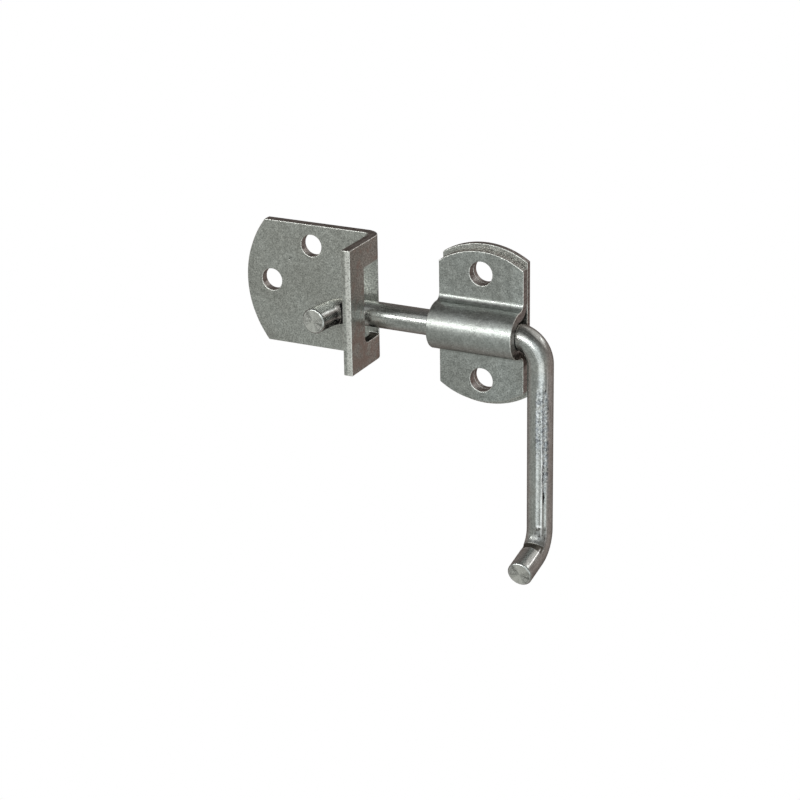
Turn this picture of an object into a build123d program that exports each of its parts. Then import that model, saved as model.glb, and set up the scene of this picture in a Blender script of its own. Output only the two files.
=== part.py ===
from build123d import *
import math
import os

# Gravity gate latch: a round-bar latch rod that turns in a formed strap and hooks behind a slotted keeper.
#
# X runs along the rod, from the keeper (low X) to the handle (high X). Y runs back towards the post, so the
# front of the latch faces -Y. Z is up. The origin lies on the mounting plane, midway between the two bolt
# holes of the strap, and the rod's axis passes straight in front of it. All sizes are in millimetres.

# Stock
plate_thickness = 4.76          # 3/16 in flat bar: keeper and strap
backing_thickness = 3.18        # 1/8 in flat bar: back plate
rod_diameter = 12.7             # 1/2 in round bar
edge_round = 0.45               # tumbled edges of the plates
rod_end_chamfer = 0.7           # turned edge of the rod's two end faces

# Clearances
rod_running_gap = 0.65          # rod to the inside of the hump, on the radius
rod_keeper_gap = 0.4            # rod to the face of the keeper plate
keeper_to_strap = 33.7          # gap between the flange's outer face and the strap

# Latch side
strap_width = 44.45             # 1-3/4 in bar
strap_arc_radius = 38.1         # arcs at the strap's top and bottom, one disc
strap_bend_radius = 3.2         # front radius where each ear meets the hump
backing_overhang = 2.5          # how far the back plate's arcs stand outside the strap's
latch_hole_diameter = 11.9
latch_hole_spacing = 54.0

# Keeper side
keeper_top = 38.8               # above the rod's axis
keeper_bottom = -24.7           # below it
keeper_width = 63.5             # flange's outer face to the two sharp corners of the plate
keeper_arc_radius = 50.8        # bowed edge between those corners
keeper_bend_radius = 3.2        # inside radius of the bend
flange_depth = 34.92            # mounting plane to the flange's front edge
slot_side_gap = 3.0             # in front of the rod
slot_above_rod = 4.6            # above the tip of the upright hook
slot_below_rod = 6.0            # below the rod
slot_corner_radius = 3.2        # upper front corner of the slot
keeper_hole_diameter = 11.11
upper_hole_in_from_face = 37.6  # from the flange's outer face
upper_hole_down = 10.8          # from the keeper's top edge
outer_hole_in_from_face = 60.5
outer_hole_down = 31.2

# Rod, along its centreline
hook_behind_flange = 14.9       # flange's inner face to the hook's corner
hook_reach = 21.8               # rod's axis to the middle of the hook's end face, towards the front
hook_turn = 84.0                # degrees
hook_bend_radius = 11.5
elbow_beyond_strap = 10.5       # strap's edge to the handle's axis
elbow_bend_radius = 12.7
handle_drop = 107.2             # rod's axis to the corner of the handle's lower bend
grip_turn = 78.0                # degrees
grip_bend_radius = 12.0
grip_length = 24.8              # that corner to the middle of the grip's end face

# Places that follow
rod_radius = rod_diameter / 2
rod_axis_y = -(plate_thickness + rod_keeper_gap + rod_radius)
strap_left = -strap_width / 2
strap_right = strap_width / 2
flange_face = strap_left - keeper_to_strap
flange_inner_face = flange_face - plate_thickness
keeper_corner = flange_face - keeper_width
keeper_height = keeper_top - keeper_bottom
keeper_middle = (keeper_top + keeper_bottom) / 2
keeper_outer_bend = keeper_bend_radius + plate_thickness
hump_inner_radius = rod_radius + rod_running_gap
hump_outer_radius = hump_inner_radius + plate_thickness
ear_back = -backing_thickness
ear_front = ear_back - plate_thickness
slot_front = rod_axis_y - rod_radius - slot_side_gap
slot_bottom = -rod_radius - slot_below_rod
slot_top = hook_reach + slot_above_rod


def round_along_y(radius, length, x=0, z=0):
    """A cylinder lying along Y, centred on the mounting plane."""
    return Pos(x, 0, z) * Rot(90, 0, 0) * Cylinder(radius, length)


def tumbled(plate):
    """Rounds every edge of a plate a little, as tumbling leaves it."""
    return fillet(plate.edges(), edge_round)


def keeper_strip():
    """The bent bar seen from above: the plate along X, then the flange turned to the front."""
    far_left = keeper_corner - keeper_arc_radius
    with BuildSketch(Plane.XY.offset(keeper_bottom)) as strip:
        with BuildLine():
            outside = FilletPolyline(
                (far_left, 0),
                (flange_face, 0),
                (flange_face, -flange_depth),
                radius=keeper_outer_bend,
            )
            inside = FilletPolyline(
                (far_left, -plate_thickness),
                (flange_inner_face, -plate_thickness),
                (flange_inner_face, -flange_depth),
                radius=keeper_bend_radius,
            )
            Line(outside @ 0, inside @ 0)
            Line(outside @ 1, inside @ 1)
        make_face()
    return extrude(strip.sketch, amount=keeper_height)


def keeper_slot():
    """The window in the flange, flush at its back with the face of the plate."""
    slot_back = -plate_thickness
    with BuildSketch(Plane.YZ.offset(flange_face - keeper_outer_bend)) as window:
        with Locations(((slot_front + slot_back) / 2, (slot_top + slot_bottom) / 2)):
            Rectangle(slot_back - slot_front, slot_top - slot_bottom)
        upper_front = window.vertices().group_by(Axis.X)[0].sort_by(Axis.Z)[-1]
        fillet(upper_front, slot_corner_radius)
    return extrude(window.sketch, amount=2 * keeper_outer_bend)


def keeper_bracket():
    """Flat plate with a bowed outer edge and two holes, bent into a slotted flange."""
    half_height = keeper_height / 2
    bow_to_corner = math.sqrt(keeper_arc_radius**2 - half_height**2)
    bow_centre = keeper_corner + bow_to_corner
    solid = keeper_strip()
    bowed_end = round_along_y(keeper_arc_radius, 4 * flange_depth, bow_centre, keeper_middle)
    square_end = Pos(bow_centre + keeper_width, 0, keeper_middle) * Box(
        2 * keeper_width, 4 * flange_depth, keeper_height
    )
    solid = solid & (bowed_end + square_end)
    solid = solid - keeper_slot()
    for inwards, down in (
        (upper_hole_in_from_face, upper_hole_down),
        (outer_hole_in_from_face, outer_hole_down),
    ):
        solid = solid - round_along_y(
            keeper_hole_diameter / 2, 4 * plate_thickness, flange_face - inwards, keeper_top - down
        )
    return tumbled(solid)


def strap_profile():
    """The formed bar seen along the rod: ear, reverse bend, half-round hump, reverse bend, ear."""
    bend_y = ear_front - strap_bend_radius
    bend_z = math.sqrt((hump_outer_radius + strap_bend_radius) ** 2 - (bend_y - rod_axis_y) ** 2)
    meeting = math.degrees(math.atan2(bend_z, bend_y - rod_axis_y))
    ear_end = strap_arc_radius
    hump = (rod_axis_y, 0)
    with BuildSketch(Plane.YZ.offset(strap_left)) as profile:
        with BuildLine():
            for ear_y, hump_radius, bend in (
                (ear_front, hump_outer_radius, strap_bend_radius),
                (ear_back, hump_inner_radius, strap_bend_radius + plate_thickness),
            ):
                Line((ear_y, ear_end), (ear_y, bend_z))
                CenterArc((bend_y, bend_z), bend, 180 + meeting, 180 - meeting)
                CenterArc(hump, hump_radius, meeting, 360 - 2 * meeting)
                CenterArc((bend_y, -bend_z), bend, 0, 180 - meeting)
                Line((ear_y, -bend_z), (ear_y, -ear_end))
            Line((ear_front, ear_end), (ear_back, ear_end))
            Line((ear_front, -ear_end), (ear_back, -ear_end))
        make_face()
    return profile.sketch


def latch_holes():
    """The two bolt holes that the strap and the back plate share."""
    holes = [
        round_along_y(latch_hole_diameter / 2, 8 * plate_thickness, 0, side * latch_hole_spacing / 2)
        for side in (-1, 1)
    ]
    return holes[0] + holes[1]


def strap():
    """Formed strap with an ear above and below the hump that carries the rod."""
    solid = extrude(strap_profile(), amount=strap_width)
    solid = solid & round_along_y(strap_arc_radius, 8 * hump_outer_radius)
    return tumbled(solid - latch_holes())


def back_plate():
    """Flat plate behind the strap, a little taller than it."""
    plate = Pos(0, -backing_thickness / 2, 0) * Box(
        strap_width, backing_thickness, 2 * (strap_arc_radius + backing_overhang)
    )
    plate = plate & round_along_y(strap_arc_radius + backing_overhang, 4 * backing_thickness)
    return tumbled(plate - latch_holes())


def latch_rod():
    """One bar bent three times: hook, elbow and the grip at the foot of the handle."""
    hook_corner_x = flange_inner_face - hook_behind_flange
    handle_x = strap_right + elbow_beyond_strap
    hook = math.radians(hook_turn)
    grip = math.radians(grip_turn)
    path = FilletPolyline(
        (hook_corner_x - hook_reach / math.tan(hook), rod_axis_y - hook_reach, 0),
        (hook_corner_x, rod_axis_y, 0),
        (handle_x, rod_axis_y, 0),
        (handle_x, rod_axis_y, -handle_drop),
        (
            handle_x,
            rod_axis_y - grip_length * math.sin(grip),
            -handle_drop - grip_length * math.cos(grip),
        ),
        radius=[hook_bend_radius, elbow_bend_radius, grip_bend_radius],
    )
    section = Plane(path @ 0, z_dir=path % 0) * Circle(rod_radius)
    solid = sweep(section, path)
    ends = [edge for edge in solid.edges() if edge.geom_type == GeomType.CIRCLE and is_end(edge, path)]
    return chamfer(ends, rod_end_chamfer)


def is_end(edge, path):
    """True for the rim of one of the rod's two end faces."""
    return min((edge.arc_center - path @ 0).length, (edge.arc_center - path @ 1).length) < rod_end_chamfer


sub_parts = {
    "keeper_bracket": keeper_bracket(),
    "strap": strap(),
    "back_plate": back_plate(),
    "latch_rod": latch_rod(),
}

os.makedirs("parts", exist_ok=True)
for node, shape in sub_parts.items():
    export_step(shape, f"parts/{node}.step")
    box = shape.bounding_box()
    print(f"{node}: {shape.volume:.0f} mm3, X {box.min.X:.1f} to {box.max.X:.1f}, "
          f"Y {box.min.Y:.1f} to {box.max.Y:.1f}, Z {box.min.Z:.1f} to {box.max.Z:.1f}")
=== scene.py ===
import math

import bpy
import numpy as np
from mathutils import Matrix, Vector


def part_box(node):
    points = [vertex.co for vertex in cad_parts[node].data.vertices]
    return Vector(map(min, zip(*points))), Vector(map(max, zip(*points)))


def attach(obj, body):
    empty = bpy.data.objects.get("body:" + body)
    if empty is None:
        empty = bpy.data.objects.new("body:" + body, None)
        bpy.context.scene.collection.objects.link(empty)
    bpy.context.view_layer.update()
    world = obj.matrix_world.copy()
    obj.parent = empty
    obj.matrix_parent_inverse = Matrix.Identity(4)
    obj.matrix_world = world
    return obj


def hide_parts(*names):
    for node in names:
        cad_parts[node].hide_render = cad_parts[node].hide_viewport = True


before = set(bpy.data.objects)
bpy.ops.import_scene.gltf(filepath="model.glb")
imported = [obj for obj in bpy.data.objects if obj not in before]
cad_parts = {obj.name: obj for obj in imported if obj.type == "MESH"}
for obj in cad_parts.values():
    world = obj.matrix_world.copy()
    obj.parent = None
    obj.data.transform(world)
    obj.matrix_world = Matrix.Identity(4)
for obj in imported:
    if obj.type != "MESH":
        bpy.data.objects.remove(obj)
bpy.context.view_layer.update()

# A gravity gate latch in raw steel. Metres, X along the rod, Y back towards the post, Z up.

# Places from the frame
_, rod_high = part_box("latch_rod")
rod_radius = rod_high.z                     # the rod's axis lies at height 0
rod_axis_y = rod_high.y - rod_radius
handle_x = rod_high.x - rod_radius
keeper_low, keeper_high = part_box("keeper_bracket")
flange_face_x = keeper_high.x
plate_thickness = 0.00476
hump_half_height = 0.0150                   # the strap's ears are flat beyond this height

# Where a look of the keeper changes over: from nothing to whole across each pair of places
flange_side = (flange_face_x - 0.0090, flange_face_x - 0.0080)
# The next strip, along the flange's front edge, gets a painted highlight
flange_highlight_strip = (flange_face_x - 0.0034, flange_face_x - 0.0022)
past_the_bend = (-0.0095, -0.0085)          # along Y, whole in front of it
slot_foot = ((-0.009, -0.0105), (-0.0180, -0.0165))     # the painted shade of the slot's floor lies between these two heights

# The rod's centreline, as it is bent
hook_corner_x = flange_face_x - plate_thickness - 0.0149
hook_reach = 0.0218
hook_turn = math.radians(84)
hook_bend_radius = 0.0115
elbow_bend_radius = 0.0127
handle_drop = 0.1072
grip_turn = math.radians(78)
grip_bend_radius = 0.012
grip_length = 0.0248
rod_end_chamfer = 0.0007

# How finely the rod is made
ring_step = 0.0005
ring_points = 128
face_rings = 26

# Tool marks on the rod. An angle goes round the bar: on the handle 0 faces +X and 90 faces the front, and on
# the grip 0 faces +X and 90 faces up. Lengths are in metres, angles in degrees.
flute_ridges = (36, 60, 87)
flute_depth = 0.00022
flute_start = 0.003                         # below the top of the straight handle
flute_rise = 0.016                          # the length over which the flutes deepen
flute_foot = 0.0030                         # from the end of the straight handle to the nearer flute's foot
flute_foot_rise = 0.0006
flute_feet_apart = 0.0060
panel_sides = (46, 132)                     # the flattened panel on the grip
panel_depth = 0.00016
panel_wall = 7
facet_start = 0.0046                        # the facet, dark with painted shade, begins this far before the straight grip
facet_length = 0.0056
facet_sides = (36, 165)
facet_depth = 0.00026
dent_size = 0.0010
dent_depth = 0.00009
ridge_width = 2.4
face_groove_depth = 0.000012
face_groove_waves = 60                      # radians of groove from the face's middle to its rim
sharp_angle = math.radians(50)
# Patches of dark scale on the handle: place below its top, angle, length, width and strength
handle_patches = ((0.011, 42, 0.0016, 5, 0.8), (0.057, 55, 0.0075, 9, 0.62), (0.066, 50, 0.006, 5, 0.8))

# How far a normal has to lean along an axis for a face to count as sheared, or an edge as rounded
cut_lean = (0.85, 0.98)
edge_lean = (0.2, 0.5)

# Linear colours of the studio
white = (1, 1, 1, 1)
low_front_grey = (0.36, 0.37, 0.35, 1)
low_back_brown = (0.36, 0.306, 0.286, 1)
high_front_dark = (0.08, 0.083, 0.08, 1)
high_back_dark = (0.13, 0.125, 0.12, 1)
floor_seen_by_steel = (0.34, 0.33, 0.31, 1)

# Linear colours of the steel
stain_brown = (0.45, 0.355, 0.315, 1)
sheared_brown = (0.43, 0.39, 0.38, 1)
torn_dark = (0.16, 0.14, 0.13, 1)
worn_and_highlight_bright = (0.93, 0.94, 0.90, 1)
slot_shade_dark = (0.10, 0.09, 0.08, 1)
gap_shade_black = (0.035, 0.035, 0.033, 1)
glint_bright = (0.85, 0.86, 0.84, 1)
nick_black = (0.05, 0.05, 0.05, 1)
bar_grey = (0.55, 0.572, 0.556, 1)
bar_brown = (0.42, 0.375, 0.335, 1)
pressed_blue = (0.52, 0.57, 0.62, 1)
pressed_glint_bright = (0.90, 0.93, 0.95, 1)
speck_dark = (0.15, 0.16, 0.18, 1)
scale_and_shade_black = (0.035, 0.036, 0.038, 1)
facet_shade_dark = (0.11, 0.105, 0.09, 1)
facet_shade_pale = (0.19, 0.18, 0.16, 1)
highlight_bright = (0.95, 0.96, 0.96, 1)
turned_grey = (0.90, 0.91, 0.87, 1)
rim_highlight_bright = (0.95, 0.95, 0.93, 1)
silhouette_tint = (0.42, 0.41, 0.40, 1)


# ---------------------------------------------------------------- camera, floor and light

def direction(azimuth, elevation):
    """The unit vector towards a camera or a light. Azimuth 0 is in front (-Y), 90 at +X. Degrees."""
    a = math.radians(azimuth)
    e = math.radians(elevation)
    return Vector((math.sin(a) * math.cos(e), -math.cos(a) * math.cos(e), math.sin(e)))


def make_camera():
    """The camera at the photograph's angle, with its small roll."""
    azimuth, elevation, roll = 27.07, 21.35, math.radians(-1.0)
    distance = 1.15
    aim_right, aim_up = -0.04236, -0.03740
    back = direction(azimuth, elevation)
    level = direction(azimuth + 90, 0)
    rise = back.cross(level)
    right = math.cos(roll) * level + math.sin(roll) * rise
    up = back.cross(right)
    camera_data = bpy.data.cameras.new("camera")
    camera_data.sensor_width = 36
    camera_data.lens = 107.4
    camera_data.clip_start = 0.01
    camera_data.clip_end = 200
    camera = bpy.data.objects.new("camera", camera_data)
    place = aim_right * right + aim_up * up + distance * back
    camera.matrix_world = Matrix.Translation(place) @ Matrix((right, up, back)).transposed().to_4x4()
    bpy.context.scene.collection.objects.link(camera)
    bpy.context.scene.camera = camera


def area_light(name, azimuth, elevation, distance, width, height, radiance, colour):
    """A soft rectangular light that faces the origin. Its power gives the radiance asked for."""
    data = bpy.data.lights.new(name, "AREA")
    data.shape = "RECTANGLE"
    data.size = width
    data.size_y = height
    data.energy = radiance * math.pi * width * height
    data.color = colour
    light = bpy.data.objects.new(name, data)
    towards = direction(azimuth, elevation)
    light.location = distance * towards
    light.rotation_mode = "QUATERNION"
    light.rotation_quaternion = towards.to_track_quat("Z", "Y")
    light.visible_camera = False
    bpy.context.scene.collection.objects.link(light)


def make_world():
    """A studio that is white to the camera and dim, darker above than below, to what the steel mirrors."""
    world = bpy.data.worlds.new("studio")
    world.use_nodes = True
    tree = world.node_tree
    tree.nodes.clear()
    g = Graph(tree)
    ray = g.add("ShaderNodeTexCoord").outputs["Generated"]
    _, y, z = g.split(ray)
    front = g.remap(y, -0.7, 0.5, 1, 0)
    below = g.tint(front, low_back_brown, low_front_grey)
    above = g.tint(front, high_back_dark, high_front_dark)
    seen_by_steel = g.tint(g.remap(z, -0.15, 1.05, 0, 1), below, above)
    to_camera = g.add("ShaderNodeLightPath").outputs["Is Camera Ray"]
    colour = g.tint(to_camera, seen_by_steel, white)
    background = g.add("ShaderNodeBackground", inputs={"Color": colour, "Strength": 1.0})
    g.add("ShaderNodeOutputWorld", inputs={"Surface": background.outputs[0]})
    bpy.context.scene.world = world


def make_floor():
    """A plain pale floor, well below the latch, that runs out to the horizon."""
    half, height = 30.0, -0.42
    mesh = bpy.data.meshes.new("floor")
    corners = [(-half, -half, height), (half, -half, height), (half, half, height), (-half, half, height)]
    mesh.from_pydata(corners, [], [(0, 1, 2, 3)])
    material = bpy.data.materials.new("pale_floor")
    material.use_nodes = True
    tree = material.node_tree
    tree.nodes.clear()
    g = Graph(tree)
    lit = g.add("ShaderNodeEmission", inputs={"Color": white, "Strength": 1.0})
    dim = g.add("ShaderNodeEmission", inputs={"Color": floor_seen_by_steel, "Strength": 1.0})
    to_camera = g.add("ShaderNodeLightPath").outputs["Is Camera Ray"]
    shown = g.add("ShaderNodeMixShader", inputs={0: to_camera, 1: dim.outputs[0], 2: lit.outputs[0]})
    g.add("ShaderNodeOutputMaterial", inputs={"Surface": shown.outputs[0]})
    mesh.materials.append(material)
    floor = bpy.data.objects.new("floor", mesh)
    bpy.context.scene.collection.objects.link(floor)
    floor.visible_diffuse = False
    floor.visible_glossy = False


# ---------------------------------------------------------------- node graphs

class Graph:
    """A node tree with short calls for the nodes that the looks are made of."""

    def __init__(self, tree):
        self.tree = tree

    def add(self, kind, settings=None, inputs=None):
        """A new node. An input is a constant or another node's output."""
        node = self.tree.nodes.new(kind)
        for key, value in (settings or {}).items():
            setattr(node, key, value)
        for key, value in (inputs or {}).items():
            self.feed(node.inputs[key], value)
        return node

    def feed(self, socket, value):
        if isinstance(value, bpy.types.NodeSocket):
            self.tree.links.new(value, socket)
        else:
            socket.default_value = value

    def object_place(self):
        return self.add("ShaderNodeTexCoord").outputs["Object"]

    def object_normal(self):
        return self.add("ShaderNodeTexCoord").outputs["Normal"]

    def attribute(self, name):
        return self.add("ShaderNodeAttribute", {"attribute_name": name}).outputs["Fac"]

    def split(self, vector):
        node = self.add("ShaderNodeSeparateXYZ", inputs={0: vector})
        return node.outputs[0], node.outputs[1], node.outputs[2]

    def join(self, x, y, z):
        return self.add("ShaderNodeCombineXYZ", inputs={0: x, 1: y, 2: z}).outputs[0]

    def math(self, operation, a, b=0.0):
        node = self.add("ShaderNodeMath", {"operation": operation}, {0: a, 1: b})
        return node.outputs[0]

    def remap(self, value, from_low, from_high, to_low=0.0, to_high=1.0):
        """A smooth step from to_low to to_high as the value goes from from_low to from_high."""
        if from_low > from_high:
            from_low, from_high, to_low, to_high = from_high, from_low, to_high, to_low
        ends = {1: from_low, 2: from_high, 3: to_low, 4: to_high}
        node = self.add("ShaderNodeMapRange", {"interpolation_type": "SMOOTHSTEP"}, {0: value, **ends})
        return node.outputs[0]

    def spread(self, noise, low, high):
        """From low to high over the range that a noise mostly keeps to."""
        return self.remap(noise, 0.3, 0.7, low, high)

    def times(self, first, *others):
        """The product of two or more numbers."""
        for other in others:
            first = self.math("MULTIPLY", first, other)
        return first

    def tint(self, share, a, b, kind="MIX"):
        """The colour a where share is 0, and b (or a blended with b) where it is 1."""
        node = self.add("ShaderNodeMix", {"data_type": "RGBA", "blend_type": kind})
        self.feed(node.inputs[0], share)
        self.feed(node.inputs[6], a)
        self.feed(node.inputs[7], b)
        return node.outputs[2]

    def shade(self, colour, tone):
        """The colour made lighter or darker by a tone about 1."""
        return self.tint(1.0, colour, self.join(tone, tone, tone), "MULTIPLY")

    def level(self, share, a, b):
        """The number a where share is 0, and b where it is 1."""
        node = self.add("ShaderNodeMix", {"data_type": "FLOAT"})
        self.feed(node.inputs[0], share)
        self.feed(node.inputs[2], a)
        self.feed(node.inputs[3], b)
        return node.outputs[0]

    def stretch(self, vector, x, y, z):
        node = self.add("ShaderNodeVectorMath", {"operation": "MULTIPLY"}, {0: vector, 1: (x, y, z)})
        return node.outputs[0]

    def noise(self, vector, scale, detail=2.0, roughness=0.5):
        settings = {"Vector": vector, "Scale": scale, "Detail": detail, "Roughness": roughness}
        return self.add("ShaderNodeTexNoise", inputs=settings).outputs["Fac"]

    def cells(self, vector, scale):
        """The distance to the nearest cell's point, in cells, and a random number for the cell."""
        node = self.add("ShaderNodeTexVoronoi", inputs={"Vector": vector, "Scale": scale})
        red = self.split(node.outputs["Color"])[0]
        return node.outputs["Distance"], red

    def bump(self, height, distance):
        """The normal of a surface that stands out by distance where height is 1."""
        inputs = {"Height": height, "Distance": distance, "Strength": 1.0}
        return self.add("ShaderNodeBump", inputs=inputs).outputs[0]


# ---------------------------------------------------------------- steel

def pits(g, place, scale, share, size):
    """1 in the middle of scattered small pits, 0 outside them. share of the cells have one."""
    away, chance = g.cells(place, scale)
    chosen = g.math("LESS_THAN", chance, share)
    return g.times(chosen, g.remap(away, 0.35 * size, size, 1, 0))


def steel_start(name):
    material = bpy.data.materials.new(name)
    material.use_nodes = True
    material.node_tree.nodes.clear()
    return material, Graph(material.node_tree)


def steel_end(g, colour, roughness, normal, anisotropy=0.0, tangent=None):
    """The metal shader and the output. The tangent is given only for turned steel."""
    inputs = {"Base Color": colour, "Metallic": 1.0, "Roughness": roughness, "Normal": normal}
    inputs["Specular Tint"] = silhouette_tint
    if tangent is not None:
        inputs["Tangent"] = tangent
        inputs["Anisotropic"] = anisotropy
    shader = g.add("ShaderNodeBsdfPrincipled", inputs=inputs)
    g.add("ShaderNodeOutputMaterial", inputs={"Surface": shader.outputs[0]})


def slanted(g, one, other):
    """1 where a normal leans both ways, as on a rounded edge between two faces, and 0 on either face."""
    return g.times(g.remap(one, *edge_lean), g.remap(other, *edge_lean))


def length_of(g, a, b):
    return g.math("SQRT", g.math("ADD", g.times(a, a), g.times(b, b)))


def strap_masks(g, place, nx, ny, nz):
    """Worn edges carrying a painted highlight, and the sheared faces, of the strap or the back plate."""
    height = g.math("ABSOLUTE", g.split(place)[2])
    off_hump = g.remap(height, hump_half_height, hump_half_height + 0.001)
    across = length_of(g, nx, nz)
    edge = g.times(slanted(g, g.math("ABSOLUTE", ny), across), off_hump)
    side = slanted(g, g.math("ABSOLUTE", nx), length_of(g, ny, nz))
    edge = g.math("MAXIMUM", edge, g.times(side, g.math("SUBTRACT", 1.0, off_hump)))
    cut = g.times(g.remap(across, *cut_lean), off_hump)
    cut = g.math("MAXIMUM", cut, g.remap(g.math("ABSOLUTE", nx), *cut_lean))
    return edge, cut


def keeper_masks(g, place, nx, ny, nz):
    """Worn edges carrying a painted highlight, and the sheared faces, of the keeper, whose flange stands the
    other way.
    """
    x, y, _ = g.split(place)
    nx, ny, nz = (g.math("ABSOLUTE", n) for n in (nx, ny, nz))
    on_flange = g.remap(x, *flange_side)
    on_plate = g.math("SUBTRACT", 1.0, on_flange)
    past_bend = g.times(on_flange, g.remap(y, *past_the_bend, 1, 0))
    plate_edge = g.times(on_plate, slanted(g, ny, length_of(g, nx, nz)))
    flange_edge = g.times(past_bend, slanted(g, nx, length_of(g, ny, nz)))
    bend_edge = g.times(on_flange, slanted(g, nz, length_of(g, nx, ny)))
    edge = g.math("MAXIMUM", g.math("MAXIMUM", plate_edge, flange_edge), bend_edge)
    plate_cut = g.times(on_plate, g.remap(length_of(g, nx, nz), *cut_lean))
    inside = g.remap(y, keeper_low.y + 0.001, keeper_low.y + 0.002)
    flange_cut = g.times(past_bend, inside, g.remap(ny, *cut_lean))
    # a painted highlight along the flange's front edge, joined to the worn edges
    painted_highlight = g.times(g.remap(x, *flange_highlight_strip), g.remap(ny, *cut_lean))
    edge = g.math("MAXIMUM", edge, g.times(painted_highlight, g.math("SUBTRACT", past_bend, inside)))
    cut = g.math("MAXIMUM", g.math("MAXIMUM", plate_cut, flange_cut), g.remap(nz, *cut_lean))
    return edge, cut


def slot_floor_shade(g, place):
    """1 at the floor of the keeper's slot, where painted shade darkens it."""
    x, _, z = g.split(place)
    low = g.times(g.remap(z, *slot_foot[0]), g.remap(z, *slot_foot[1]))
    return g.times(g.remap(x, *flange_side), low)


def painted_gap_shade(g, place, shifted, cut):
    """Black, crumbly painted shade in the lower corner of the hump's ends."""
    z = g.split(place)[2]
    low = g.times(g.remap(z, -0.0060, -0.0085), g.remap(g.math("ABSOLUTE", z), hump_half_height, 0.0135))
    return g.times(low, cut, g.remap(g.noise(shifted, 620, 3, 0.7), 0.57, 0.50))


def plate_grey(g, grain, mottle, cloud, smoothed, pale, chill):
    """The plate's grainy grey. pale scales it, and chill makes it bluer."""
    tone = g.level(smoothed, g.spread(grain, 0.56, 1.44), g.spread(grain, 0.80, 1.22))
    tone = g.times(tone, g.spread(mottle, 0.90, 1.10), g.remap(cloud, 0.35, 0.65, 0.93, 1.09))
    warm = (0.565 * pale * (1 - chill), 0.565 * pale, 0.52 * pale * (1 + chill), 1)
    cool = (0.53 * pale * (1 - chill), 0.56 * pale, 0.54 * pale * (1 + chill), 1)
    return g.shade(g.tint(cloud, warm, cool), tone)


def plate_stains(g, place, shifted, rust):
    """How much brown there is: stain, more with rust, plus a painted warm reflection on a side that faces
    along X, low down.
    """
    along_x = g.math("ABSOLUTE", g.split(g.object_normal())[0])
    low_down = g.remap(g.split(place)[2], 0.012, -0.020, 0.12, 0.21)
    # a painted warm reflection on the sides that face along X, stronger low down, raises the brown there
    painted_side_warmth = g.times(g.remap(along_x, 0.7, 0.95), low_down)
    blotches = g.math("ADD", g.noise(shifted, 190, 5, 0.72), painted_side_warmth)
    return g.remap(blotches, 0.66 - rust, 0.80 - rust, 0, 0.6)


def plate_steel(name, masks, seed, pale, rust, chill, drawn=0.0):
    """Pickled hot-rolled plate: grainy grey, worn bright at its edges with a painted highlight there too,
    browner where it was sheared.
    drawn is how much the pressing smoothed the strap's hump."""
    material, g = steel_start(name)
    place = g.object_place()
    shifted = g.add("ShaderNodeVectorMath", {"operation": "ADD"}, {0: place, 1: (seed, 0, seed)}).outputs[0]
    edge, cut = masks(g, place, *g.split(g.object_normal()))
    grain = g.noise(shifted, 1250, 2, 0.8)
    mottle = g.noise(shifted, 430, 4, 0.7)
    cloud = g.noise(shifted, 48, 3)
    tears = g.noise(g.stretch(shifted, 1300, 200, 1300), 1.0, 2)
    nicks = pits(g, shifted, 150, 0.22, 0.085)
    glints = pits(g, shifted, 400, 0.05, 0.14)
    height = g.math("ABSOLUTE", g.split(place)[2])
    smoothed = g.times(g.remap(height, hump_half_height + 0.0025, hump_half_height + 0.001), drawn)
    # wear along the edges, with a painted highlight laid on it
    wear_and_highlight = g.times(edge, g.remap(grain, 0.32, 0.55, 0.25, 1.0))

    colour = plate_grey(g, grain, mottle, cloud, smoothed, pale, chill)
    colour = g.tint(plate_stains(g, place, shifted, rust), colour, stain_brown)
    colour = g.tint(g.times(cut, g.spread(mottle, 0.35, 0.85)), colour, sheared_brown)
    colour = g.tint(g.times(cut, g.remap(tears, 0.45, 0.65, 0, 0.62)), colour, torn_dark)
    colour = g.tint(wear_and_highlight, colour, worn_and_highlight_bright)
    # painted shade on the floor of the keeper's slot
    colour = g.tint(g.times(slot_floor_shade(g, place), cut, 0.8), colour, slot_shade_dark)
    # black, crumbly painted shade in the lower corner of the hump's ends
    colour = g.tint(g.times(painted_gap_shade(g, place, shifted, cut), drawn, 0.9), colour, gap_shade_black)
    colour = g.tint(glints, colour, glint_bright)
    colour = g.tint(g.times(nicks, 0.85), colour, nick_black)

    uneven = g.level(smoothed, g.spread(grain, 0.08, -0.08), 0.0)
    roughness = g.math("ADD", g.spread(mottle, 0.32, 0.46), uneven)
    roughness = g.level(wear_and_highlight, roughness, 0.46)
    relief = g.times(grain, g.level(smoothed, 0.14, 0.07))
    relief = g.math("ADD", relief, g.times(mottle, g.level(smoothed, 0.22, 0.14)))
    relief = g.math("ADD", relief, g.times(cloud, 1.2))
    relief = g.math("SUBTRACT", relief, g.times(nicks, 1.2))
    relief = g.math("SUBTRACT", relief, g.times(cut, tears, 1.5))
    steel_end(g, colour, roughness, g.bump(relief, 0.00007))
    return material


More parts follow.
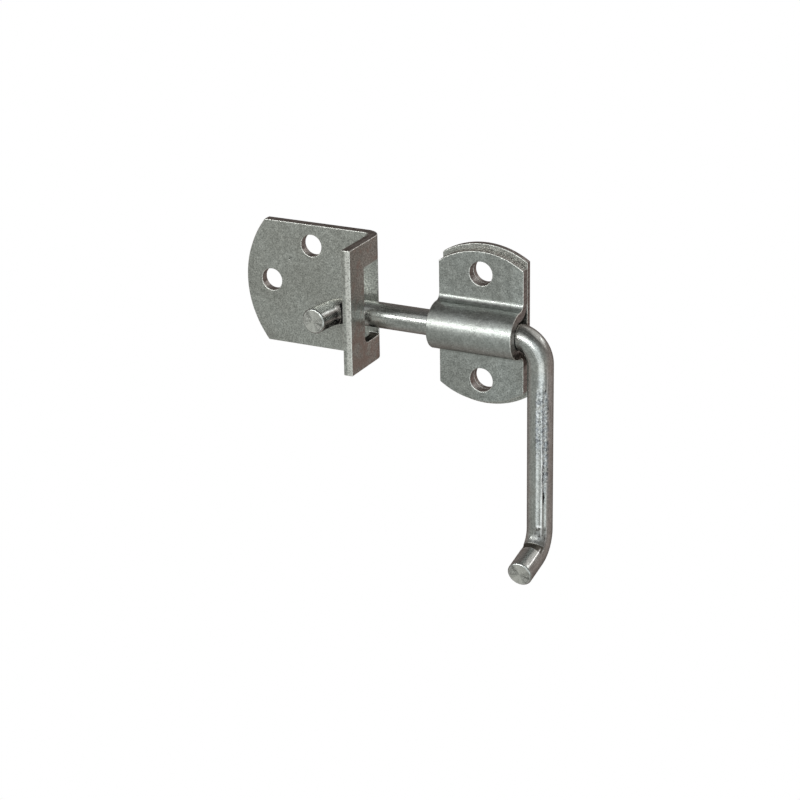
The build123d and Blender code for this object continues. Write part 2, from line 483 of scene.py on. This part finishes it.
def bar_steel():
    """Cold-drawn round bar: drawing lines, dents where the tools pressed it with painted glints on them, dark
    scale, painted shade and painted highlight lines.
    """
    material, g = steel_start("drawn_bar")
    place = g.object_place()
    along = g.attribute("along")
    around = g.attribute("around")
    pressed = g.attribute("pressed")
    scale_and_shade = g.attribute("scale_and_shade")
    sunk_shade = g.attribute("sunk_shade")
    painted_highlight = g.attribute("painted_highlight")
    unrolled = g.join(along, around, 0.0)
    lines = g.noise(g.stretch(unrolled, 60, 1500, 1), 1.0, 3, 0.7)
    grain = g.noise(place, 1000, 2, 0.8)
    mottle = g.noise(place, 420, 4, 0.7)
    cloud = g.noise(place, 70, 3)

    tone = g.times(g.spread(lines, 0.86, 1.14), g.spread(grain, 0.78, 1.22), g.spread(cloud, 0.92, 1.08))
    colour = g.shade(bar_grey, tone)
    brown = g.remap(g.noise(place, 60, 3, 0.6), 0.48, 0.72, 0, 0.35)
    colour = g.tint(brown, colour, bar_brown)
    blue = g.times(pressed, g.remap(mottle, 0.40, 0.60, 0.0, 0.8))
    colour = g.tint(blue, colour, pressed_blue)
    # painted glints on the pressed, hammered dents
    bright = g.times(pressed, g.remap(grain, 0.51, 0.60, 0, 0.95))
    colour = g.tint(bright, colour, pressed_glint_bright)
    specks = g.times(pressed, g.remap(g.noise(place, 700, 3, 0.7), 0.51, 0.60, 0, 0.85))
    colour = g.tint(specks, colour, speck_dark)
    # dark scale, and painted shade on the hook and beside the keeper's flange
    covered = g.math("ADD", g.noise(place, 480, 4, 0.75), g.times(scale_and_shade, 0.36))
    scale = g.times(g.remap(covered, 0.62, 0.74), g.remap(scale_and_shade, 0.02, 0.2))
    colour = g.tint(scale, colour, scale_and_shade_black)
    # painted shade on the grip's facet and on the inner side of its bend
    colour = g.tint(sunk_shade, colour, g.tint(grain, facet_shade_dark, facet_shade_pale))
    # painted highlight lines along the rod's ridges, edges and a flute's foot
    highlight_line = g.times(painted_highlight, g.remap(grain, 0.30, 0.50, 0.5, 1.0))
    colour = g.tint(highlight_line, colour, highlight_bright)

    roughness = g.math("ADD", g.spread(lines, 0.20, 0.30), g.spread(mottle, -0.03, 0.05))
    roughness = g.math("ADD", roughness, g.times(pressed, 0.14))
    roughness = g.level(scale, roughness, 0.55)
    roughness = g.level(g.math("MINIMUM", g.times(sunk_shade, 2.0), 1.0), roughness, 0.5)
    height = g.times(lines, 0.25)
    height = g.math("ADD", height, g.times(mottle, g.level(pressed, 0.25, 2.6)))
    height = g.math("ADD", height, g.times(grain, g.level(pressed, 0.12, 1.5)))
    height = g.math("ADD", height, cloud)
    height = g.math("SUBTRACT", height, g.times(scale, 0.8))
    steel_end(g, colour, roughness, g.bump(height, 0.00006))
    return material


def turned_steel():
    """A sawn and faced end of the bar: fine rings, with a painted fan of highlight and shade, a painted
    highlight needle and a painted highlight at the rim.
    """
    material, g = steel_start("turned_face")
    across, rise, _ = g.split(g.add("ShaderNodeAttribute", {"attribute_name": "turned"}).outputs["Vector"])
    angle = g.math("ARCTAN2", rise, across)
    radius = length_of(g, across, rise)
    side = g.math("COSINE", angle)
    top = g.math("SINE", angle)
    sectors = g.noise(g.join(side, top, 0.0), 1.9, 2, 0.6)
    rings = g.noise(g.join(radius, 0.0, 0.0), 22, 3, 0.7)
    around_and_out = g.join(g.times(side, 2.2), g.times(top, 2.2), g.times(radius, 17))
    strokes = g.noise(around_and_out, 1.0, 2, 0.7)
    # a painted fan of highlight and shade across the face, with a painted highlight needle
    painted_fan = g.math("COSINE", g.times(g.math("SUBTRACT", angle, math.radians(72)), 2.0))
    thin = g.math("ABSOLUTE", g.math("COSINE", g.math("SUBTRACT", angle, math.radians(93))))
    painted_needle = g.times(g.remap(thin, 0.975, 0.998), g.remap(radius, 0.05, 0.3))
    tone = g.math("ADD", g.remap(painted_fan, -1, 1, 0.60, 1.18), g.spread(sectors, -0.22, 0.22))
    tone = g.math("ADD", tone, g.spread(rings, -0.10, 0.10))
    tone = g.math("ADD", tone, g.spread(strokes, -0.22, 0.22))
    tone = g.math("ADD", tone, g.times(painted_needle, 0.40))
    colour = g.shade(turned_grey, g.math("MINIMUM", tone, 1.1))
    # a painted highlight round the face's rim
    rim_highlight = g.remap(radius, 0.84, 0.90)
    colour = g.tint(g.times(rim_highlight, 0.6), colour, rim_highlight_bright)
    roughness = g.math("ADD", g.spread(rings, 0.26, 0.38), g.spread(strokes, -0.04, 0.04))
    tangent = g.add("ShaderNodeTangent", {"direction_type": "UV_MAP", "uv_map": "turning"}).outputs[0]
    normal = g.bump(g.math("ADD", rings, strokes), 0.00003)
    steel_end(g, colour, roughness, normal, 0.7, tangent)
    return material


# ---------------------------------------------------------------- the rod

def rod_corners():
    """The corners of the rod's centreline, from the hook's end to the grip's end."""
    hook_end = Vector((hook_corner_x - hook_reach / math.tan(hook_turn), rod_axis_y - hook_reach, 0))
    grip_way = Vector((0, -math.sin(grip_turn), -math.cos(grip_turn)))
    grip_corner = Vector((handle_x, rod_axis_y, -handle_drop))
    return [
        hook_end,
        Vector((hook_corner_x, rod_axis_y, 0)),
        Vector((handle_x, rod_axis_y, 0)),
        grip_corner,
        grip_corner + grip_length * grip_way,
    ]


def bent_path(corners, radii, step):
    """Points about a step apart along straight runs joined by arcs, the direction at each, and where each
    straight run starts and ends, as lengths along the path."""
    points, ways, runs = [], [], []
    length = 0.0
    start = corners[0]
    for before, corner, after, radius in zip(corners, corners[1:], corners[2:], radii):
        way_in = (corner - before).normalized()
        way_out = (after - corner).normalized()
        turn = way_in.angle(way_out)
        reach = radius * math.tan(turn / 2)
        stop = corner - reach * way_in
        count = round((stop - start).length / step)
        points += [start.lerp(stop, i / count) for i in range(count)]
        ways += [way_in] * count
        runs.append((length, length + (stop - start).length))
        inwards = (way_out - way_in * way_out.dot(way_in)).normalized()
        centre = stop + radius * inwards
        count = round(radius * turn / step)
        for i in range(count):
            a = turn * i / count
            points.append(centre - radius * math.cos(a) * inwards + radius * math.sin(a) * way_in)
            ways.append(math.cos(a) * way_in + math.sin(a) * inwards)
        length = runs[-1][1] + radius * turn
        start = corner + reach * way_out
    stop = corners[-1]
    count = round((stop - start).length / step)
    points += [start.lerp(stop, i / count) for i in range(count + 1)]
    ways += [way_out] * (count + 1)
    runs.append((length, length + (stop - start).length))
    return points, ways, runs


def carried_sides(ways, first):
    """A sideways direction at each ring, carried along the path without twist."""
    sides = [first]
    for before, after in zip(ways, ways[1:]):
        sides.append((before.rotation_difference(after) @ sides[-1]).normalized())
    return sides


def rod_rings():
    """Every ring of the rod's mesh, as arrays: centre, side, other side, radius, length along the rod and
    whether the ring lies in an end face. The rings run from one end face's middle to the other's."""
    bend_radii = [hook_bend_radius, elbow_bend_radius, grip_bend_radius]
    centres, ways, runs = bent_path(rod_corners(), bend_radii, ring_step)
    sides = carried_sides(ways, Vector((0, 0, 1)))
    others = [way.cross(side) for way, side in zip(ways, sides)]
    total = runs[-1][1]
    face_radius = rod_radius - rod_end_chamfer
    shares = [(k + 0.5) / face_rings for k in range(face_rings)] + [1.0]
    skip = math.ceil(rod_end_chamfer / ring_step)
    body = range(skip, len(centres) - skip)
    rings = [(centres[0], sides[0], others[0], face_radius * share, 0.0, 1.0) for share in shares]
    rings += [(centres[0] + rod_end_chamfer * ways[0], sides[0], others[0], rod_radius, rod_end_chamfer, 0.0)]
    step = total / (len(centres) - 1)
    rings += [(centres[i], sides[i], others[i], rod_radius, i * step, 0.0) for i in body]
    last = centres[-1] - rod_end_chamfer * ways[-1]
    rings += [(last, sides[-1], others[-1], rod_radius, total - rod_end_chamfer, 0.0)]
    end = (centres[-1], sides[-1], others[-1])
    rings += [(*end, face_radius * share, total, 1.0) for share in reversed(shares)]
    columns = [np.array([tuple(ring[k]) for ring in rings]) for k in range(3)]
    columns += [np.array([ring[k] for ring in rings]) for k in range(3, 6)]
    return columns, runs


def smooth_step(x, low, high):
    t = np.clip((x - low) / (high - low), 0, 1)
    return t * t * (3 - 2 * t)


def between(x, low, high, fade):
    """1 from low to high, fading to 0 over the fade outside them."""
    return smooth_step(x, low - fade, low) * (1 - smooth_step(x, high, high + fade))


def lattice_noise(points, cell, seed):
    """Smooth value noise from -1 to 1 at an array of points."""
    table = np.random.default_rng(seed).uniform(-1, 1, 4096)
    scaled = points / cell
    base = np.floor(scaled).astype(int)
    t = scaled - base
    t = t * t * (3 - 2 * t)
    total = np.zeros(len(points))
    for corner in range(8):
        offset = np.array([(corner >> k) & 1 for k in range(3)])
        key = base + offset
        value = table[(key[:, 0] * 73 + key[:, 1] * 179 + key[:, 2] * 283) % len(table)]
        total += np.prod(np.where(offset, t, 1 - t), axis=1) * value
    return total


def hollow(angle, low, high):
    """1 halfway between two ridges, 0 at either of them and outside."""
    u = np.clip((angle - low) / (high - low), 0, 1)
    return (4 * u * (1 - u)) ** 1.5


def add_flutes(marks, length, angle, runs):
    """Two shallow flutes down the handle's front, each with its own foot, and painted highlight lines on two
    ridges and a flute's foot.
    """
    handle_top, handle_foot = runs[2]
    start = smooth_step(length, handle_top + flute_start, handle_top + flute_start + flute_rise)
    for k, (low, high) in enumerate(zip(flute_ridges, flute_ridges[1:])):
        foot = handle_foot - flute_foot + (1 - k) * flute_feet_apart
        run = start * (1 - smooth_step(length, foot - flute_foot_rise, foot + flute_foot_rise))
        marks["depth"] += flute_depth * hollow(angle, low, high) * run
        marks["pressed"] = np.maximum(marks["pressed"], 0.12 * run * between(angle, low, high, 4))
    ridge = between(angle, flute_ridges[1] - ridge_width, flute_ridges[1] + ridge_width, ridge_width)
    lit = between(length, handle_foot - 0.040, handle_foot - flute_foot, 0.012)
    marks["painted_highlight"] = np.maximum(marks["painted_highlight"], 0.8 * ridge * lit)
    edge = between(angle, flute_ridges[0] - 1, flute_ridges[0] + 1, ridge_width)
    lit = np.maximum(between(length, handle_top + 0.002, handle_top + 0.012, 0.004),
                     between(length, handle_foot - 0.024, handle_foot + 0.004, 0.006))
    marks["painted_highlight"] = np.maximum(marks["painted_highlight"], 0.9 * edge * lit)
    foot = handle_foot - flute_foot
    arc = between(length, foot - 0.0006, foot + 0.0001, 0.0004)
    arc = arc * between(angle, flute_ridges[1] + 4, flute_ridges[2] - 7, 3)
    marks["painted_highlight"] = np.maximum(marks["painted_highlight"], arc)


def add_panel(marks, length, angle, runs):
    """The grip's flattened panel, with painted highlight lines at its sides and its top."""
    grip_top, grip_end = runs[3]
    low, high = panel_sides
    top = grip_top - facet_start + facet_length
    run = between(length, top, grip_end - 0.004, 0.002)
    marks["depth"] += panel_depth * between(angle, low + panel_wall, high - panel_wall, panel_wall) * run
    right = between(angle, low - 1.5, low + 1.5, 3) * between(length, top - 0.001, grip_end - 0.006, 0.004)
    left = between(angle, high - 1, high + 1, 2) * between(length, top, grip_end - 0.009, 0.003)
    upper = between(length, top + 0.0001, top + 0.0005, 0.0004) * between(angle, low + 22, high, 5)
    for highlight_line in (right, 0.8 * left, 0.8 * upper):
        marks["painted_highlight"] = np.maximum(marks["painted_highlight"], highlight_line)


def add_facet(marks, length, angle, runs):
    """A clean facet where the press held the bar, across the grip's bend, kept dark by painted shade."""
    top = runs[3][0] - facet_start
    u = (length - top) / facet_length
    across = between(angle, *facet_sides, 8)
    marks["depth"] += facet_depth * smooth_step(u, -0.15, 0.05) * np.clip(1 - u, 0, 1) * across
    marks["sunk_shade"] = np.maximum(marks["sunk_shade"], between(u, -0.06, 0.93, 0.06) * between(angle, *facet_sides, 6))


def add_hammering(marks, points, length, angle, runs):
    """Fine dents over the handle's front and the inner side of the grip's bend."""
    handle_top, handle_foot = runs[2]
    grip_top = runs[3][0]
    ends = smooth_step(length, handle_top, handle_top + 0.02)
    right_run = 1 - smooth_step(length, handle_foot - 0.026, handle_foot - 0.014)
    left_run = 1 - smooth_step(length, handle_foot - 0.048, handle_foot - 0.034)
    right = between(angle, 30, flute_ridges[1], 6) * right_run
    left = between(angle, flute_ridges[1], 84, 9) * left_run
    worn = np.maximum(right, 0.9 * left) * ends
    bend = 0.5 * between(angle, 36, 96, 8)
    bend *= between(length, handle_foot - 0.002, grip_top - facet_start - 0.001, 0.001)
    # painted shade over the inner side of the grip's bend
    marks["sunk_shade"] = np.maximum(marks["sunk_shade"], 0.9 * bend)
    speckled = between(length, handle_foot - 0.0022, handle_foot + 0.0045, 0.001) * between(angle, 40, 90, 6)
    marks["scale_and_shade"] = np.maximum(marks["scale_and_shade"], 0.34 * speckled)
    worn = np.maximum(worn, bend)
    hammered = 0.5 + 0.5 * lattice_noise(points, dent_size, 7)
    marks["depth"] += dent_depth * hammered * worn
    marks["pressed"] = np.maximum(marks["pressed"], worn)


def add_scale_and_shade(marks, length, angle, runs):
    """Painted shade on the hook's lower side, a painted dark reflection beside the keeper's flange, and dark
    scale in patches on the handle.
    """
    hook_end, shank_start = runs[0][1], runs[1][0]
    handle_top = runs[2][0]
    # painted dark reflection of the flange's shaded inside, on the rod beside the flange
    beside = between(length, hook_end + 0.0066, shank_start + 0.001, 0.0010) * between(angle, 40, 215, 15)
    # painted shade on the hook's lower side
    below = 0.70 * between(length, 0.003, hook_end + 0.004, 0.003) * between(angle, 104, 168, 16)
    marks["scale_and_shade"] = np.maximum(marks["scale_and_shade"], np.maximum(beside, below))
    for middle, turn, long, wide, strength in handle_patches:
        away = ((length - handle_top - middle) / long) ** 2 + ((angle - turn) / wide) ** 2
        marks["scale_and_shade"] = np.maximum(marks["scale_and_shade"], strength * np.exp(-away))


def tool_marks(points, length, angle, runs):
    """What the tools left at each point, with painted shade and painted highlight: how deep it is pressed, in
    metres, and four shares from 0 to 1.
    """
    marks = {name: np.zeros(len(points)) for name in ("depth", "pressed", "scale_and_shade", "sunk_shade", "painted_highlight")}
    add_flutes(marks, length, angle, runs)
    add_panel(marks, length, angle, runs)
    add_facet(marks, length, angle, runs)
    add_hammering(marks, points, length, angle, runs)
    add_scale_and_shade(marks, length, angle, runs)
    return marks


def grid_faces(rows, columns):
    """The quads of a tube of rings, row by row, facing outwards, then the two fans that close it."""
    a = np.arange(rows - 1)[:, None] * columns + np.arange(columns)[None, :]
    b = np.arange(rows - 1)[:, None] * columns + (np.arange(columns)[None, :] + 1) % columns
    quads = np.stack([a, b, b + columns, a + columns], axis=2).reshape(-1, 4)
    first, last = rows * columns, rows * columns + 1
    end = (rows - 1) * columns
    fans = [(first, (j + 1) % columns, j) for j in range(columns)]
    fans += [(last, end + j, end + (j + 1) % columns) for j in range(columns)]
    return quads, fans


def make_rod():
    """The rod as one fine tube, with its tool marks, chamfers and faced ends."""
    (centres, sides, others, radii, lengths, in_face), runs = rod_rings()
    rows = len(radii)
    turns = np.linspace(0, 2 * math.pi, ring_points, endpoint=False)
    outwards = np.cos(turns)[None, :, None] * sides[:, None] + np.sin(turns)[None, :, None] * others[:, None]
    points = (centres[:, None] + radii[:, None, None] * outwards).reshape(-1, 3)
    outwards = outwards.reshape(-1, 3)

    def each(values):
        return np.repeat(values, ring_points)

    angle = np.tile(np.degrees(turns), rows)
    marks = tool_marks(points, each(lengths), angle, runs)
    depth = np.where(each(in_face) > 0, 0, marks["depth"])
    points = points - outwards * depth[:, None]
    inwards = each(in_face) * face_groove_depth * (1 + np.sin(each(radii) / rod_radius * face_groove_waves))
    ways = np.cross(sides, others)
    towards = np.where(np.arange(rows) < rows / 2, 1.0, -1.0)
    points += np.repeat(ways * towards[:, None], ring_points, axis=0) * inwards[:, None]

    poles = np.array([centres[0], centres[-1]])
    quads, fans = grid_faces(rows, ring_points)
    mesh = bpy.data.meshes.new("rod_bar")
    mesh.from_pydata(np.concatenate([points, poles]).tolist(), [], quads.tolist() + fans)
    for name, values in (
        ("along", each(lengths)),
        ("around", np.tile(turns * rod_radius, rows)),
        ("pressed", marks["pressed"]),
        ("scale_and_shade", marks["scale_and_shade"]),
        ("sunk_shade", marks["sunk_shade"]),
        ("painted_highlight", marks["painted_highlight"]),
    ):
        values = np.concatenate([values, [0.0, 0.0]]).astype(np.float32)
        mesh.attributes.new(name, "FLOAT", "POINT").data.foreach_set("value", values)
    turned = (outwards * each(radii)[:, None] / rod_radius)[:, [0, 2]]
    turned = np.concatenate([turned, np.zeros((2, 2))])
    turned = np.column_stack([turned, np.zeros(len(turned))]).astype(np.float32)
    mesh.attributes.new("turned", "FLOAT_VECTOR", "POINT").data.foreach_set("vector", turned.ravel())

    row = np.repeat(np.arange(rows - 1), ring_points)
    column = np.tile(np.arange(ring_points), rows - 1)
    u = np.stack([column, column + 1, column + 1, column], axis=1) / ring_points
    v = np.stack([row, row, row + 1, row + 1], axis=1) / rows
    uv = np.concatenate([np.stack([u, v], axis=2).reshape(-1, 2), np.full((3 * len(fans), 2), 0.5)])
    mesh.uv_layers.new(name="turning").data.foreach_set("uv", uv.astype(np.float32).ravel())
    is_face = np.concatenate([in_face[row] * in_face[row + 1], np.ones(len(fans))]).astype(int)
    mesh.materials.append(bar_steel())
    mesh.materials.append(turned_steel())
    mesh.polygons.foreach_set("material_index", is_face)
    mesh.polygons.foreach_set("use_smooth", np.ones(len(is_face), bool))
    mesh.update()
    mesh.set_sharp_from_angle(angle=sharp_angle)
    rod = bpy.data.objects.new("rod_bar", mesh)
    bpy.context.scene.collection.objects.link(rod)
    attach(rod, "rod")
    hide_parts("latch_rod")


def dress(node, material):
    """Gives a CAD node its steel."""
    node_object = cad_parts[node]
    for slot in node_object.material_slots:
        slot.material = material


make_camera()
make_world()
make_floor()
# Azimuth, elevation, distance, width, height, radiance and colour
area_light("key", -20, 20.5, 1.5, 1.9, 0.20, 9.0, (1.0, 1.0, 0.98))
area_light("low_front", 32, -20, 0.95, 0.72, 0.5, 0.95, (0.94, 0.98, 1.0))
area_light("over_soft", -27, 46, 1.5, 1.9, 0.6, 0.42, (1.0, 1.0, 1.0))
area_light("front_soft", 20, 18, 1.3, 1.2, 0.9, 0.74, (0.93, 0.97, 1.0))
area_light("back_soft", 142, 44, 1.6, 1.7, 1.4, 0.50, (1.0, 0.97, 0.94))
area_light("back_line", 138, 31, 1.5, 0.45, 0.20, 2.2, (1.0, 1.0, 1.0))
keeper_plate = plate_steel("keeper_plate", keeper_masks, seed=0.3, pale=0.90, rust=0.03, chill=0.0)
strap_plate = plate_steel("strap_plate", strap_masks, seed=0.7, pale=0.88, rust=0.0, chill=0.025, drawn=1.0)
backing_plate = plate_steel("backing_plate", strap_masks, seed=1.1, pale=0.90, rust=0.08, chill=0.0)
dress("keeper_bracket", keeper_plate)
dress("strap", strap_plate)
dress("back_plate", backing_plate)
make_rod()

bpy.context.scene.view_settings.view_transform = "Standard"
